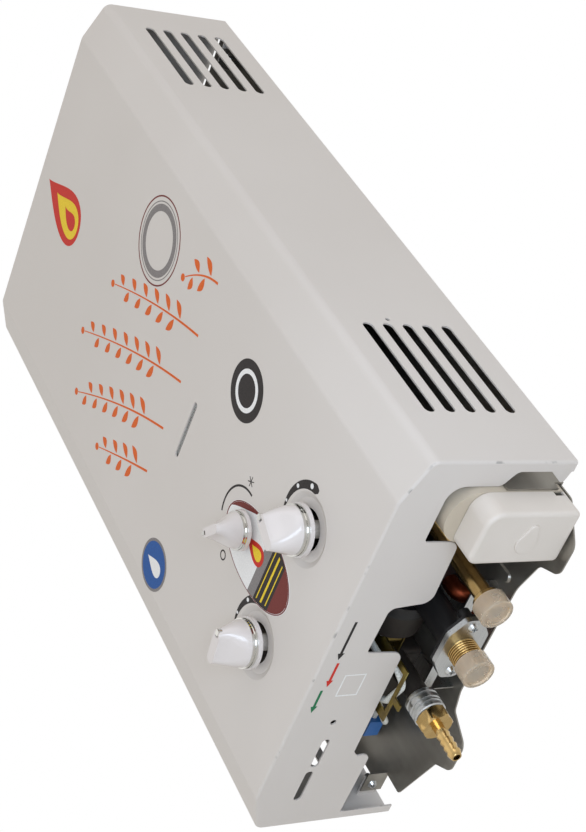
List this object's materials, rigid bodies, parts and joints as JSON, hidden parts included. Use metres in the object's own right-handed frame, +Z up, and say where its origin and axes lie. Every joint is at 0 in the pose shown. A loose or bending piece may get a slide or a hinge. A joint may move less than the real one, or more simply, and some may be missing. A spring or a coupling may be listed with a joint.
{
  "type": "instant gas water heater",
  "caption": "Wall-hung instant gas water heater: folded sheet casing with vented sides, turning control knobs, gas and water connections below, and a pull-off battery lid.",
  "frame": {"origin": "on the wall plane, at the middle of the casing's bottom edge", "axes": "+X right seen from the front, +Y into the wall, +Z up"},
  "size_m": [0.332, 0.1564, 0.655],
  "materials": {
    "enamel": "satin powder coat",
    "galvanised": "dull zinc",
    "bright_zinc": "bright zinc",
    "copper": "drawn copper",
    "steel": "plain",
    "cast_zinc": "as cast",
    "brass": "turned",
    "chrome": "polished",
    "yellow_zinc": "yellow passivated",
    "knob_white": "gloss",
    "box_white": "satin",
    "box_cream": "satin",
    "cap_milky": "milky",
    "black_plastic": "matte",
    "blue_plastic": "satin",
    "sleeve_white": "satin",
    "ceramic": "glazed",
    "rubber": "matte"
  },
  "bodies": {
    "heater": {"front_cover": "enamel", "back_plate": "galvanised", "flue_hood": "galvanised", "shell_straps": "galvanised", "burner_frame": "galvanised", "battery_bracket": "galvanised", "electrode_bracket": "galvanised", "valve_bracket": "bright_zinc", "inlet_flange": "bright_zinc", "gas_collar": "bright_zinc", "cover_screws": "bright_zinc", "clamp_screws": "bright_zinc", "flange_screws": "bright_zinc", "sight_mesh": "bright_zinc", "battery_contacts": "bright_zinc", "combustion_shell": "copper", "exchanger_fins": "copper", "water_coil": "copper", "burner_bars": "steel", "electrode_tips": "steel", "return_spring": "steel", "gas_tubes": "steel", "gas_valve_body": "cast_zinc", "gas_manifold": "cast_zinc", "season_valve_body": "cast_zinc", "diaphragm_cover": "cast_zinc", "injectors": "brass", "gas_nut": "brass", "hose_tail": "brass", "inlet_nipple": "brass", "outlet_pipe": "brass", "switch_bracket": "yellow_zinc", "battery_box": "box_cream", "water_valve_body": "black_plastic", "gas_solenoid": "black_plastic", "microswitch": "black_plastic", "igniter_box": "black_plastic", "igniter_plug": "blue_plastic", "lead_sleeve": "sleeve_white", "electrode_insulators": "ceramic", "diaphragm": "rubber"},
    "gas_control": {"gas_knob": "knob_white", "gas_knob_ring": "chrome", "gas_knob_pointer": "chrome", "gas_spindle": "box_white"},
    "water_control": {"water_knob": "knob_white", "water_knob_ring": "chrome", "water_knob_pointer": "chrome", "water_spindle": "box_white"},
    "season_control": {"season_knob": "knob_white", "season_knob_ring": "chrome", "season_knob_pointer": "chrome", "season_spindle": "box_white"},
    "battery_cover": {"battery_lid": "box_white", "lid_contact": "bright_zinc"},
    "cold_cap": {"inlet_cap": "cap_milky"},
    "hot_cap": {"outlet_cap": "cap_milky"},
    "linkage": {"push_rod": "steel", "gas_plunger": "rubber"},
    "lever": {"switch_lever": "yellow_zinc"}
  },
  "joints": [
    {"name": "gas_turn", "type": "hinge", "parent": "heater", "child": "gas_control", "pos_m": [-0.0515, -0.128, 0.069], "axis": [0, -1, 0], "range_deg": [-10, 170]},
    {"name": "water_turn", "type": "hinge", "parent": "heater", "child": "water_control", "pos_m": [0.0515, -0.128, 0.069], "axis": [0, -1, 0], "range_deg": [-70, 110]},
    {"name": "season_turn", "type": "hinge", "parent": "heater", "child": "season_control", "pos_m": [0, -0.128, 0.1265], "axis": [0, -1, 0], "range_deg": [-83, 37]},
    {"name": "lid_pull", "type": "slide", "parent": "heater", "child": "battery_cover", "axis": [0, 0, -1], "range_m": [0, 0.08]},
    {"name": "cold_cap_pull", "type": "slide", "parent": "heater", "child": "cold_cap", "axis": [0, 0, -1], "range_m": [0, 0.06]},
    {"name": "hot_cap_pull", "type": "slide", "parent": "heater", "child": "hot_cap", "axis": [0, 0, -1], "range_m": [0, 0.06]},
    {"name": "rod_push", "type": "slide", "parent": "heater", "child": "linkage", "axis": [-1, 0, 0], "range_m": [0, 0.004], "stiffness_N_per_m": 400, "deforming": ["return_spring"]},
    {"name": "lever_turn", "type": "hinge", "parent": "heater", "child": "lever", "pos_m": [-0.012, -0.05, 0.028], "axis": [0, -1, 0], "range_deg": [0, 13]}
  ],
  "couplings": [
    {"joint": "lever_turn", "follows": "rod_push", "rad_per_m": 55.556}
  ]
}
